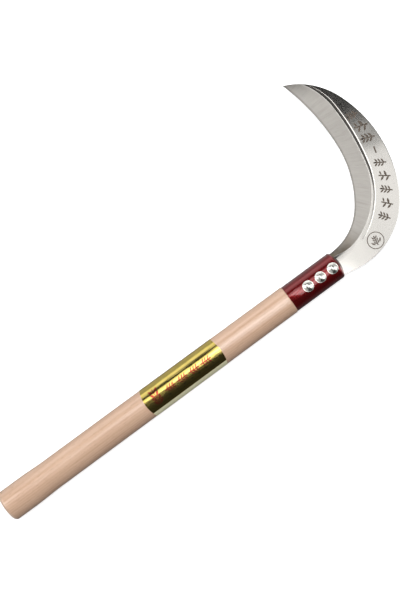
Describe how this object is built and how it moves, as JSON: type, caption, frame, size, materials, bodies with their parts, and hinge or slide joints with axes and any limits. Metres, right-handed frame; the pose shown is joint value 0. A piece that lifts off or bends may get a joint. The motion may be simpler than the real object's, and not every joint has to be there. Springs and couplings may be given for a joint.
{
  "type": "hand sickle",
  "caption": "Hand sickle with a crescent steel blade, a domed riveted ferrule and a long turned wooden handle with a foil label.",
  "frame": {"origin": "centre of the handle's flat butt face, on the handle's axis", "axes": "+X along the handle from the butt to the blade, +Y towards the side the blade hooks to, +Z out of the blade's bevelled face, which is the upper face in a right hand's stroke"},
  "size_m": [0.4684, 0.1735, 0.031],
  "materials": {
    "blade_steel": "polished flat with a brushed ground bevel, clear oiled",
    "handle_wood": "pale straight-grained hardwood, turned, clear varnish",
    "ferrule_paint": "gloss dark red enamel on drawn steel",
    "label_foil": null,
    "rivet_plating": "bright nickel plate"
  },
  "bodies": {
    "root": {"blade": "blade_steel", "handle": "handle_wood", "ferrule": "ferrule_paint", "label": "label_foil", "rivet_rear": "rivet_plating", "washer_rear": "rivet_plating", "rivet_middle": "rivet_plating", "washer_middle": "rivet_plating", "rivet_front": "rivet_plating", "washer_front": "rivet_plating"}
  },
  "joints": []
}
